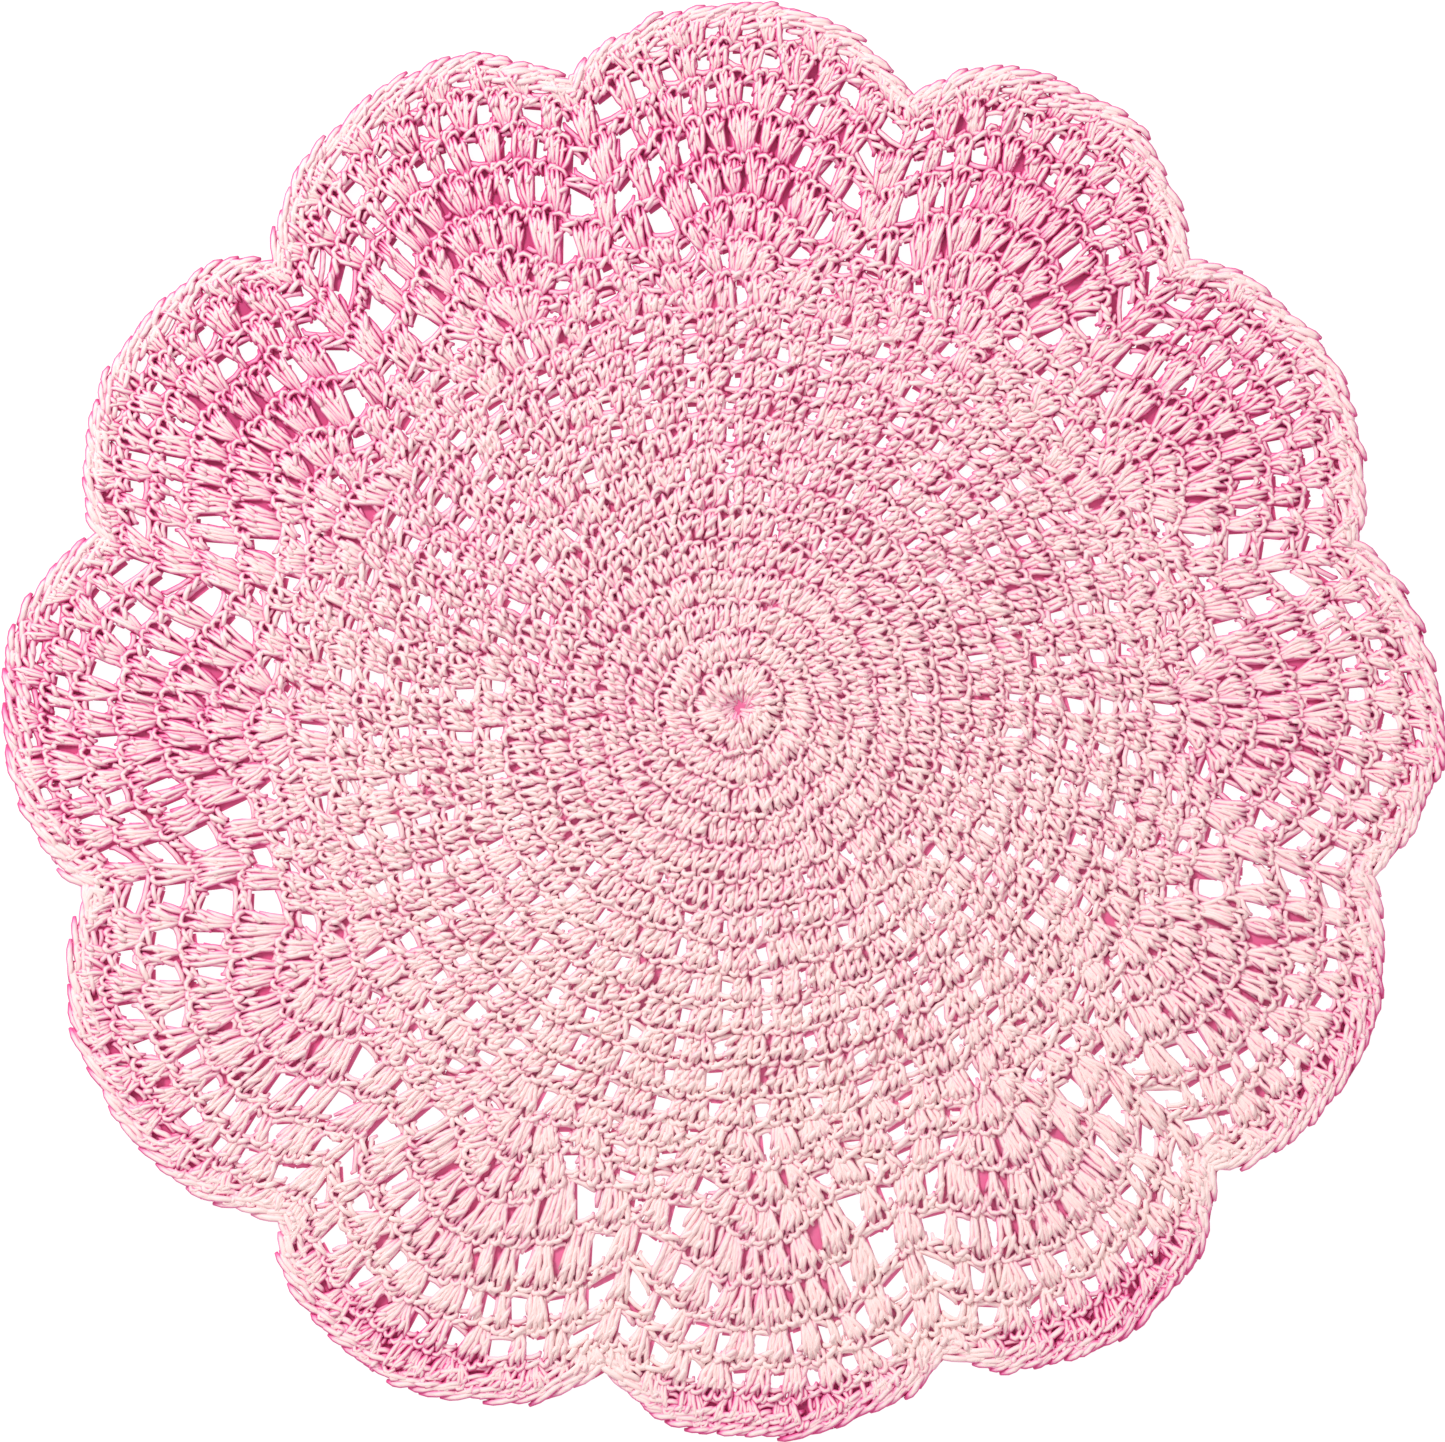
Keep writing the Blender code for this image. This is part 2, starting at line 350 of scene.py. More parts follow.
def chart_place(turn, work_round):
    """Places (n, 2) in metres of chart points.

    In the mesh the radius is the round's own, stretched to the petal, and the angle turns back
    towards the centre. In a petal the radius falls from the middle line to the notch: as a cosine
    as far as the round's reach near the root, and as the share to the power BOW further out.
    """
    turn, work_round = np.broadcast_arrays(np.asarray(turn, float), np.asarray(work_round, float))
    lean = np.interp(work_round, LEAN_ROUNDS, (0.0, 1.0, 1.0, 0.0)) * LEAN_TURN
    turn = turn + lean * (0.5 - 0.5 * np.cos(math.pi * turn))
    index = np.floor((turn + 1.0) / 2.0).astype(int)
    share = turn - 2.0 * index
    petal = index % PETAL_COUNT
    part = np.abs(share)
    left = share < 0.0
    axis_deg = AXIS_DEG[petal]
    seam_deg = beside(SEAM_DEG, left, petal, axis_deg)
    notch_deg = beside(NOTCH_DEG, left, petal, axis_deg)
    seam_mm = beside(SEAM_MM, left, petal, None)
    notch_mm = beside(NOTCH_MM, left, petal, None)

    grown = np.clip(work_round / LAST_MESH_ROUND, 0.0, 1.0)
    local_mm = mix(MESH_MM[petal], seam_mm, part)
    stretch = mix(1.0, local_mm / MESH_TOP_MM[-1], grown * grown)
    mesh_radius = np.interp(work_round, np.arange(LAST_MESH_ROUND + 1), MESH_TOP_MM) * stretch
    mesh_angle = mix(axis_deg, seam_deg, part) - MESH_TURN_DEG * (1.0 - grown)

    rounds = column(PETAL_TOPS, "round")
    axis_tops = column(PETAL_TOPS, "axis_mm")
    notch_tops = column(PETAL_TOPS, "notch_mm")
    axis_rise = (np.interp(work_round, rounds, axis_tops) - axis_tops[0]) / np.ptp(axis_tops)
    notch_rise = (np.interp(work_round, rounds, notch_tops) - notch_tops[0]) / np.ptp(notch_tops)
    axis_mm = mix(MESH_MM[petal], TIP_MM[petal], axis_rise)
    side_mm = mix(seam_mm, notch_mm, notch_rise)
    reach = np.interp(work_round, rounds, column(PETAL_TOPS, "reach"))
    near_root = 0.5 - 0.5 * np.cos(math.pi * np.minimum(part / reach, 1.0))
    fall = mix(near_root, part ** BOW, np.clip((work_round - 16.0) / 2.0, 0.0, 1.0))
    petal_radius = mix(axis_mm, side_mm, fall)
    over = (work_round - LAST_MESH_ROUND) / (LAST_PETAL_ROUND - LAST_MESH_ROUND)
    petal_angle = mix(mix(axis_deg, TIP_DEG[petal], over), mix(seam_deg, notch_deg, over), part)

    in_mesh = work_round <= LAST_MESH_ROUND
    radius = np.where(in_mesh, mesh_radius, petal_radius) * MM
    angle = np.radians(np.where(in_mesh, mesh_angle, petal_angle))
    return drift(np.stack((radius * np.sin(angle), radius * np.cos(angle)), axis=-1))


def openings_of(work_round):
    """Every opening of a whole round as rows of (turn, width, part of them shut), clockwise."""
    rows = []
    for mesh in MESH_ROUNDS:
        if mesh.round == work_round:
            step = 2.0 * PETAL_COUNT / mesh.gaps
            wide = mesh.open_part * step
            rows = [(number * step, wide, mesh.shut_part) for number in range(mesh.gaps)]
    for opening in PETAL_OPENINGS:
        if opening.round == work_round:
            for petal in range(PETAL_COUNT):
                shut = work_round == LAST_PETAL_ROUND and petal in SHUT_RIM_PETALS
                shut_part = 1.0 if shut else SHUT_PART if opening.wide < 0.1 else 0.0
                if opening.turn < 1.0:
                    rows.append((2.0 * petal + opening.turn, opening.wide, shut_part))
                if opening.both or opening.turn == 1.0:
                    rows.append((2.0 * petal - opening.turn, opening.wide, shut_part))
    rows = np.array(rows)
    return rows[np.argsort(rows[:, 0])]


def fan_in(turn, work_round):
    """Where a stitch's foot is for a head at that turn: nearer the petal's middle line."""
    if work_round <= LAST_MESH_ROUND:
        return turn
    rounds = column(PETAL_TOPS, "round")
    reach = np.interp(work_round, rounds, column(PETAL_TOPS, "reach"))
    fan = np.interp(work_round, rounds, column(PETAL_TOPS, "fan"))
    share = (turn + 1.0) % 2.0 - 1.0
    return turn - fan * share * np.clip(1.0 - (share / reach) ** 4, 0.0, 1.0)


def line_mm(start, end, work_round):
    """Length of a round's top line from one turn to another, summed over short steps."""
    places = chart_place(np.linspace(start, end, 7), work_round)
    return np.linalg.norm(np.diff(places, axis=0), axis=1).sum() / MM


def round_runs(work_round, chance):
    """The runs of stitches between a round's openings.

    Each row is (foot from, foot to, head from, head to, stitches, next opening shut). No two
    openings are alike, and the feet of a run draw together.
    """
    rows = openings_of(work_round)
    given = [mesh.stitches for mesh in MESH_ROUNDS if mesh.round == work_round]
    shut = chance.uniform(0.0, 1.0, len(rows)) < rows[:, 2]
    stray = CLOSE_STRAY_TURNS if work_round <= CLOSE_ROUNDS else OPEN_STRAY_TURNS
    rows[:, 0] += chance.normal(0.0, stray, len(rows))
    least, most = MESH_WIDTHS if given else PETAL_WIDTHS
    rows[:, 1] *= chance.uniform(least, most, len(rows))
    if given:
        top_mm = MESH_TOP_MM[work_round]
    else:
        top_mm = PETAL_TOPS[work_round - LAST_MESH_ROUND].axis_mm
    shut |= rows[:, 1] * HALF_PETAL * top_mm < SHUT_MM
    rows[:, 1] *= np.where(shut, SHUT_WIDTH, 1.0)
    after = np.roll(rows, -1, axis=0)
    after[-1, 0] += 2.0 * PETAL_COUNT
    head_from = rows[:, 0] + rows[:, 1] / 2.0
    head_to = after[:, 0] - after[:, 1] / 2.0
    foot_from = fan_in(head_from, work_round)
    foot_to = fan_in(head_to, work_round)
    draw = np.minimum(FOOT_DRAW * (foot_to - foot_from), FOOT_DRAW_TURNS)
    runs = np.stack((foot_from + draw, foot_to - draw, head_from, head_to), axis=1)
    if given:
        counts = [given[0]] * len(runs)
    else:
        counts = [max(1, round(line_mm(run[2], run[3], work_round) / STITCH_MM)) for run in runs]
    return np.column_stack((runs, counts, np.roll(shut, -1)))


def top_line(turn, work_round, all_runs):
    """Places on a round's top line, bowed out over its runs and dipped at its openings."""
    runs = all_runs.get(work_round)
    if runs is None:
        return chart_place(turn, work_round)
    size = MESH_BOW_OUT if work_round < LAST_MESH_ROUND else PETAL_BOW_OUT
    if work_round == LAST_PETAL_ROUND:
        size = 0.0
    turns = mix(runs[:, 2:3], runs[:, 3:4], np.array(BOW_AT))
    bows = np.tile(np.array(BOW_SHAPE) * size, len(runs))
    bow = np.interp(turn, turns.ravel(), bows, period=2.0 * PETAL_COUNT)
    return chart_place(turn, work_round + bow)


# The petals' stitches stand in shells of so many, drawn together this much at their feet.
BUNCH = 4
BUNCH_PULL = 0.45
# The first round's feet draw in to a ring, which leaves the hole at the centre.
FIRST_FOOT_ROUND = 0.235


def stitch_cells(work_round, all_runs, bunched):
    """Corners (n, 2) in metres of every stitch's cell: foot left and right, head left and right."""
    runs = all_runs[work_round]
    counts = runs[:, 4].astype(int)
    order = np.concatenate([np.arange(count) for count in counts])
    count = np.repeat(counts, counts)
    span = np.repeat(runs[:, :4], counts, axis=0)
    foot_round = work_round - 1 if work_round > 1 else FIRST_FOOT_ROUND
    first = order // BUNCH * BUNCH
    middle = (first + np.minimum(first + BUNCH, count)) / 2.0
    pull = BUNCH_PULL if bunched and work_round > LAST_MESH_ROUND else 0.0
    foot_from = mix(order, middle, pull) / count
    foot_to = mix(order + 1, middle, pull) / count
    return (
        top_line(mix(span[:, 0], span[:, 1], foot_from), foot_round, all_runs),
        top_line(mix(span[:, 0], span[:, 1], foot_to), foot_round, all_runs),
        top_line(mix(span[:, 2], span[:, 3], order / count), work_round, all_runs),
        top_line(mix(span[:, 2], span[:, 3], (order + 1) / count), work_round, all_runs),
    )


def link_ends(work_round, all_runs, over_stitches):
    """Ends (n, 2) of the strands of a round's top line, over its stitches or its openings."""
    runs = all_runs[work_round]
    cuts = []
    for number, run in enumerate(runs):
        if over_stitches:
            stitches = int(run[4])
            edges = mix(run[2], run[3], np.arange(stitches + 1) / stitches)
        else:
            after = runs[(number + 1) % len(runs)][2]
            if number + 1 == len(runs):
                after += 2.0 * PETAL_COUNT
            chains = max(1, round(line_mm(run[3], after, work_round) / LINK_MM))
            edges = mix(run[3], after, np.arange(chains + 1) / chains)
        cuts.extend(zip(edges[:-1], edges[1:]))
    cuts = np.array(cuts)
    return top_line(cuts[:, 0], work_round, all_runs), top_line(cuts[:, 1], work_round, all_runs)


def opening_ends(work_round, all_runs, at_foot):
    """Both sides (n, 2) of each opening, on the round's own top line or at the stitches' feet."""
    runs = all_runs[work_round]
    after = np.roll(runs, -1, axis=0)
    after[-1, :4] += 2.0 * PETAL_COUNT
    if at_foot:
        foot_round = max(work_round - 1, FIRST_FOOT_ROUND)
        return (
            top_line(runs[:, 1], foot_round, all_runs),
            top_line(after[:, 0], foot_round, all_runs),
        )
    return top_line(runs[:, 3], work_round, all_runs), top_line(after[:, 2], work_round, all_runs)


def curve_weights(knots, steps):
    """Weights (steps, knots) of a Catmull-Rom curve, whose end knots are carried straight on."""
    along = np.linspace(0.0, knots - 1.0, steps)
    low = np.minimum(along.astype(int), knots - 2)
    t = along - low
    basis = np.stack((
        -0.5 * t + t ** 2 - 0.5 * t ** 3,
        1.0 - 2.5 * t ** 2 + 1.5 * t ** 3,
        0.5 * t + 2.0 * t ** 2 - 1.5 * t ** 3,
        -0.5 * t ** 2 + 0.5 * t ** 3,
    ), axis=1)
    padded = np.zeros((steps, knots + 2))
    for shift in range(4):
        padded[np.arange(steps), low + shift] += basis[:, shift]
    weights = padded[:, 1:-1].copy()
    weights[:, 0] += 2.0 * padded[:, 0]
    weights[:, 1] -= padded[:, 0]
    weights[:, -1] += 2.0 * padded[:, -1]
    weights[:, -2] -= padded[:, -1]
    return weights


def lift(places):
    """How far the cloth stands off the floor in metres.

    A product of sines and a sine of x + y make gentle waves, and the upper petals' tips rise as
    the square of how far out they are.
    """
    x = places[..., 0]
    y = places[..., 1]
    radius = np.hypot(x, y)
    waves = 0.00012 * (np.sin(x * 95.0 + 1.3) * np.cos(y * 80.0) + np.sin((x + y) * 60.0))
    upper = np.clip(y / np.maximum(radius, 1e-6), 0.0, 1.0)
    rim = np.clip((radius - 0.110) / 0.040, 0.0, 1.2) ** 2
    return waves + 0.0002 + 0.0012 * upper * rim


def stitch_paths(cells, knots, chance):
    """Paths (n, k, 3): each knot set between its cell's corners, first along, then across."""
    foot_left, foot_right, head_left, head_right = cells
    along = column(knots, "along")[None, :, None]
    across = column(knots, "across")[None, :, None] + 0.5
    left = mix(foot_left[:, None], head_left[:, None], along)
    right = mix(foot_right[:, None], head_right[:, None], along)
    flat = mix(left, right, across)
    height = column(knots, "height_mm")[None, :, None] * MM
    aside = (left - right)[:, :1]
    aside = aside / np.maximum(np.linalg.norm(aside, axis=2, keepdims=True), 1e-9)
    flat = flat + aside * (along - 0.5) * chance.normal(0.0, LEAN_MM * MM, (len(flat), 1, 1))
    shift = chance.normal(0.0, SHIFT_MM * MM, (len(flat), 1, 2))
    bend = chance.normal(0.0, BEND_MM * MM, flat.shape)
    rise = chance.normal(0.0, RISE_MM * MM, (len(flat), 1, 1))
    places = flat + shift + bend
    return np.concatenate((places, height + rise + lift(places)[..., None]), axis=2)


def link_paths(ends, bends, chance):
    """Paths (n, k, 3): each bend set along the line from end to end, and square to it."""
    start, end = ends
    run = end - start
    length = np.maximum(np.linalg.norm(run, axis=1, keepdims=True), 1e-6)
    out = np.stack((-run[:, 1], run[:, 0]), axis=1) / length
    across = column(bends, "across")[None, :, None] + 0.5
    flat = mix(start[:, None], end[:, None], across)
    flat = flat + out[:, None] * column(bends, "out_mm")[None, :, None] * MM
    flat = flat + chance.normal(0.0, LINK_BEND_MM * MM, flat.shape)
    flat = flat + chance.normal(0.0, LINK_SHIFT_MM * MM, (len(flat), 1, 2))
    height = column(bends, "height_mm")[None, :, None] * MM
    rise = chance.normal(0.0, LINK_RISE_MM * MM, (len(flat), 1, 1))
    return np.concatenate((flat, height + rise + lift(flat)[..., None]), axis=2)


def painted_shade_depth_at(places):
    """How much deeper the painted shade makes the yarn's flanks than its crowns: 1 is average.

    It is a sum of ramps on x, y and the distance from the centre. The painted shade grows towards
    the top, in the petals towards the left and along their middle lines, where the fans of stitches
    stand, and on the rim, most at the lower right.
    """
    x = places[..., 0]
    y = places[..., 1]
    radius = np.hypot(x, y)
    angle = np.degrees(np.arctan2(x, y))
    from_axis = np.abs((angle[..., None] - TIP_DEG + 180.0) % 360.0 - 180.0).min(axis=-1)
    in_petals = np.clip((radius - 0.084) / 0.030, 0.0, 1.0)
    fan = in_petals * np.clip(1.2 - from_axis / 10.0, 0.0, 1.0)
    fan = fan * np.clip((0.150 - radius) / 0.03, 0.0, 1.0)
    edge = np.clip((radius - 0.138) / 0.014, 0.0, 1.0) * np.clip((x - y) / 0.15, 0.0, 1.0)
    rim = np.clip((radius - 0.139) / 0.012, 0.0, 1.0)
    in_mesh = 0.66 + 3.2 * y
    return in_mesh + (0.36 + 2.2 * y - 1.0 * x) * in_petals + 0.20 * fan + 1.6 * edge + 0.8 * rim


def give_painted_shade_depth(mesh, values):
    """The painted shade depth of every vertex, kept on the mesh for its material to read."""
    depth = mesh.attributes.new("depth", "FLOAT", "POINT")
    depth.data.foreach_set("value", values.astype(np.float32))


# A strand's ends are this part of its radius; its thickness and the strength of its painted shade
# vary this much.
END_TAPER = 0.55
THICK_STRAY = 0.05
PAINTED_SHADE_STRAY = 0.25


class Yarn:
    """Gathers tubes and turns them into one mesh."""

    def __init__(self):
        self.places = []
        self.corners = []
        self.sizes = []
        self.uvs = []
        self.painted_shade_depths = []
        self.total = 0

    def add(self, knots, steps, sides, radius_mm, chance):
        """Tubes round smooth paths: rings of the yarn's radius, square to the path.

        Each is closed at both ends, where it tapers, and none goes below the surface.
        """
        path = np.einsum("sk,nkc->nsc", curve_weights(knots.shape[1], steps), knots)
        along = np.gradient(path, axis=1)
        along /= np.maximum(np.linalg.norm(along, axis=2, keepdims=True), 1e-9)
        side = np.cross(along, np.array([0.0, 0.0, 1.0]))
        side /= np.maximum(np.linalg.norm(side, axis=2, keepdims=True), 1e-9)
        up = np.cross(side, along)
        taper = np.ones(steps)
        taper[[0, -1]] = END_TAPER
        count = len(path)
        thick = radius_mm * MM * (1.0 + chance.normal(0.0, THICK_STRAY, (count, 1, 1, 1)))
        turn = (np.arange(sides) + (0.5 if sides > 4 else 0.0)) / sides * 2.0 * math.pi
        ring = np.cos(turn)[:, None] * side[:, :, None] + np.sin(turn)[:, None] * up[:, :, None]
        places = path[:, :, None] + ring * thick * taper[None, :, None, None]
        places[..., 2] = np.maximum(places[..., 2], 0.0)
        index = np.arange(count * steps * sides).reshape(count, steps, sides) + self.total
        beyond = np.roll(index, -1, axis=2)
        quads = np.stack((index[:, :-1], beyond[:, :-1], beyond[:, 1:], index[:, 1:]), axis=-1)
        starts = index[:, 0, ::-1]
        ends = index[:, -1]
        gaps = np.linalg.norm(np.diff(path, axis=1), axis=2)
        length = np.concatenate((np.zeros((count, 1)), np.cumsum(gaps, axis=1)), axis=1)
        length /= 2.0 * math.pi * radius_mm * MM
        length += chance.uniform(0.0, 1.0, (count, 1))
        around = np.arange(sides + 1) / sides
        grid_u = np.broadcast_to(length[:, :, None], (count, steps, sides + 1))
        grid_v = np.broadcast_to(around, (count, steps, sides + 1))
        grid = np.stack((grid_u, grid_v), axis=-1)
        near = grid[:, :-1]
        far = grid[:, 1:]
        quad_uv = np.stack((near[:, :, :-1], near[:, :, 1:], far[:, :, 1:], far[:, :, :-1]), axis=3)
        self.places.append(places.reshape(-1, 3))
        self.corners += [quads.reshape(-1), starts.reshape(-1), ends.reshape(-1)]
        self.sizes += [np.full(quads.size // 4, 4), np.full(count, sides), np.full(count, sides)]
        start_uv = grid[:, 0, -2::-1]
        end_uv = grid[:, -1, :-1]
        self.uvs += [quad_uv.reshape(-1, 2), start_uv.reshape(-1, 2), end_uv.reshape(-1, 2)]
        # Each strand's painted shade depth, with a random share of its own.
        depth = painted_shade_depth_at(path[:, :, :2]) + chance.uniform(-PAINTED_SHADE_STRAY, PAINTED_SHADE_STRAY, (count, 1))
        self.painted_shade_depths.append(np.repeat(depth.reshape(-1), sides))
        self.total += count * steps * sides

    def piece(self, name, material):
        """One smooth mesh of all the tubes, with the UV map "yarn" and each vertex's painted shade
        depth.
        """
        corners = np.concatenate(self.corners)
        sizes = np.concatenate(self.sizes)
        mesh = bpy.data.meshes.new(name)
        mesh.vertices.add(self.total)
        mesh.vertices.foreach_set("co", np.concatenate(self.places).astype(np.float32).ravel())
        mesh.loops.add(len(corners))
        mesh.loops.foreach_set("vertex_index", corners.astype(np.int32))
        mesh.polygons.add(len(sizes))
        mesh.polygons.foreach_set("loop_start", (np.cumsum(sizes) - sizes).astype(np.int32))
        mesh.update(calc_edges=True)
        mesh.shade_smooth()
        uv_map = mesh.uv_layers.new(name="yarn")
        uv_map.data.foreach_set("uv", np.concatenate(self.uvs).astype(np.float32).ravel())
        give_painted_shade_depth(mesh, np.concatenate(self.painted_shade_depths))
        mesh.materials.append(material)
        thing = bpy.data.objects.new(name, mesh)
        bpy.context.scene.collection.objects.link(thing)
        return thing


def add_round(yarn, work_round, all_runs, chance):
    """Every strand of a round: stitches, their hooked tops, and the chains round its openings."""
    cells = stitch_cells(work_round, all_runs, True)
    links = link_ends(work_round, all_runs, True)
    chains = link_ends(work_round, all_runs, False)
    heads = opening_ends(work_round, all_runs, False)
    feet = opening_ends(work_round, all_runs, True)
    in_mesh = work_round <= LAST_MESH_ROUND
    low_cells = cells if in_mesh else stitch_cells(work_round, all_runs, False)
    low_wrap = LOW_WRAP if in_mesh else DEEP_WRAP
    hook = HOOK_STRAND if in_mesh else TALL_HOOK_STRAND
    for knots in (LEFT_LEG, RIGHT_LEG) if in_mesh else (TALL_LEFT_LEG, TALL_RIGHT_LEG):
        yarn.add(stitch_paths(cells, knots, chance), 5, 4, YARN_RADIUS_MM, chance)
    yarn.add(stitch_paths(low_cells, low_wrap, chance), 4, 4, YARN_RADIUS_MM, chance)
    yarn.add(stitch_paths(cells, HIGH_WRAP, chance), 4, 4, YARN_RADIUS_MM, chance)
    yarn.add(link_paths(links, hook, chance), 6, 4, YARN_RADIUS_MM, chance)
    yarn.add(link_paths(chains, OUTER_STRAND, chance), 4, 5, YARN_RADIUS_MM, chance)
    yarn.add(link_paths(chains, CHAIN_STRAND, chance), 5, 5, YARN_RADIUS_MM, chance)
    yarn.add(link_paths(heads, UNDER_STRAND, chance), 5, 5, YARN_RADIUS_MM, chance)
    if work_round > 1:
        yarn.add(link_paths(feet, OVER_STRAND, chance), 5, 5, YARN_RADIUS_MM, chance)


# Where the ropes of the rim lie, in rounds, their links in each petal and the radius of their yarn.
RIM_ROPES = (20.55, 20.82, 21.10, 21.55)
ROPE_LINKS = 22
ROPE_RADIUS_MM = 0.74

# The yarn's fastened-off end: a small knot on the rim, in the notch at the lower left.
NUB_FROM_MM = (-130.8, -37.2)
NUB_TO_MM = (-136.2, -39.6)
NUB_STRANDS = 3
NUB_STRAND = (
    Bend(-0.50, -0.70, 1.00),
    Bend(-0.20, 0.90, 2.10),
    Bend(0.15, -0.90, 2.20),
    Bend(0.45, 0.60, 1.90),
    Bend(0.40, -0.50, 1.00),
)


def rim_ends(work_round, links):
    """Ends of the rim's chain links, evenly spaced round each petal."""
    cuts = np.linspace(-1.0, 2.0 * PETAL_COUNT - 1.0, PETAL_COUNT * links + 1)
    places = chart_place(cuts, work_round)
    return places[:-1], places[1:]


# Painted shade between the strands: a thin dark web low in the stitches, open where the work is. It
# lies a little to the lower right, where the light throws the strands' shade.
WEB_HEIGHT = 0.80 * MM
WEB_SHIFT_MM = (0.62, -0.62)
WEB_INSET_TURNS = 0.012
# The painted shade web's corners over the hole at the centre.
CENTRE_WEB_MM = ((-3.0, -3.0), (-3.0, 3.0), (3.0, 3.0), (3.0, -3.0))


def strip(ends, inner_mm, outer_mm):
    """Quads along lines from end to end, from so far inside them to so far outside."""
    start, end = ends
    run = end - start
    length = np.maximum(np.linalg.norm(run, axis=1, keepdims=True), 1e-6)
    out = np.stack((-run[:, 1], run[:, 0]), axis=1) / length * MM
    low = out * inner_mm
    high = out * outer_mm
    return np.stack((start + low, start + high, end + high, end + low), axis=1)


def painted_shade_sheet(material, all_runs):
    """One flat quad of painted shade under each stitch, strand and shut opening, a little inside
    their yarn.
    """
    quads = [np.array([CENTRE_WEB_MM]) * MM]
    inset = np.array((WEB_INSET_TURNS, -WEB_INSET_TURNS, WEB_INSET_TURNS, -WEB_INSET_TURNS, 0.0, 0.0))
    inner_runs = {number: runs + inset for number, runs in all_runs.items()}
    for work_round in inner_runs:
        foot_left, foot_right, head_left, head_right = stitch_cells(work_round, inner_runs, False)
        quads.append(np.stack((foot_left, head_left, head_right, foot_right), axis=1))
        heads = opening_ends(work_round, all_runs, False)
        feet = opening_ends(work_round, all_runs, True)
        quads.append(strip(link_ends(work_round, all_runs, True), -0.9, 0.9))
        quads.append(strip(heads, -1.6, 0.9))
        quads.append(strip(feet, -0.5, 1.2))
        shut = all_runs[work_round][:, 5] > 0.5
        heads = opening_ends(work_round, inner_runs, False)
        feet = opening_ends(work_round, inner_runs, True)
        quads.append(np.stack((feet[0], heads[0], heads[1], feet[1]), axis=1)[shut])
    quads = np.concatenate(quads)
    flat = quads.reshape(-1, 2) + np.array(WEB_SHIFT_MM) * MM
    places = np.concatenate((flat, (WEB_HEIGHT + lift(flat))[:, None]), axis=1)
    mesh = bpy.data.meshes.new("painted_shade_web")
    faces = np.arange(len(flat)).reshape(-1, 4)
    mesh.from_pydata(places.tolist(), [], faces[:, ::-1].tolist())
    mesh.update()
    give_painted_shade_depth(mesh, painted_shade_depth_at(flat))
    mesh.materials.append(material)
    thing = bpy.data.objects.new("painted_shade_web", mesh)
    bpy.context.scene.collection.objects.link(thing)
    return thing


class Socket:
    """A node's output, so that shader maths reads as Python."""

    def __init__(self, tree, output):
        self.tree = tree
        self.output = output

    def _math(self, operation, first, second=None):
        values = {0: first} if second is None else {0: first, 1: second}
        return self.tree.node("ShaderNodeMath", {"operation": operation}, values)

    def __add__(self, other):
        return self._math("ADD", self, other)

    def __radd__(self, other):
        return self._math("ADD", other, self)

    def __sub__(self, other):
        return self._math("SUBTRACT", self, other)

    def __rsub__(self, other):
        return self._math("SUBTRACT", other, self)

    def __mul__(self, other):
        return self._math("MULTIPLY", self, other)

    def __rmul__(self, other):
        return self._math("MULTIPLY", other, self)

    def sine(self):
        return self._math("SINE", self)

    def between(self, low, high):
        """0 at low, 1 at high, straight between."""
        settings = {"clamp": True}
        values = {"Value": self, "From Min": low, "From Max": high}
        return self.tree.node("ShaderNodeMapRange", settings, values)


class Tree:
    """A new material's node tree, built one node a call."""

    def __init__(self, name):
        self.material = bpy.data.materials.new(name)
        self.material.use_nodes = True
        self.nodes = self.material.node_tree.nodes
        self.links = self.material.node_tree.links
        self.shader = self.nodes["Principled BSDF"]

    def set(self, node, name, value):
        socket = node.inputs[name]
        if isinstance(value, Socket):
            self.links.new(value.output, socket)
        else:
            socket.default_value = value

    def node(self, kind, settings=None, values=None, output=0):
        made = self.nodes.new(kind)
        for name, value in (settings or {}).items():
            if name == "stops":
                self.ramp(made, value)
            else:
                setattr(made, name, value)
        for name, value in (values or {}).items():
            self.set(made, name, value)
        return Socket(self, made.outputs[output])

    def ramp(self, made, stops):
        elements = made.color_ramp.elements
        while len(elements) < len(stops):
            elements.new(0.5)
        for element, (position, colour) in zip(elements, stops):
            element.position = position
            element.color = colour

    def principled(self, values):
        for name, value in values.items():
            self.set(self.shader, name, value)


# The yarn's pink, with the painted shade that darkens it low down and on its flanks, and the painted
# cream highlight on its crowns.
PAINTED_SHADE_CRIMSON = (0.70, 0.07, 0.25, 1.0)
PAINTED_SHADE_DEEP_ROSE = (0.84, 0.13, 0.38, 1.0)
PAINTED_SHADE_PINK = (0.85, 0.26, 0.47, 1.0)
YARN_PINK = (0.89, 0.46, 0.58, 1.0)
PAINTED_HIGHLIGHT_CREAM = (0.97, 0.72, 0.70, 1.0)


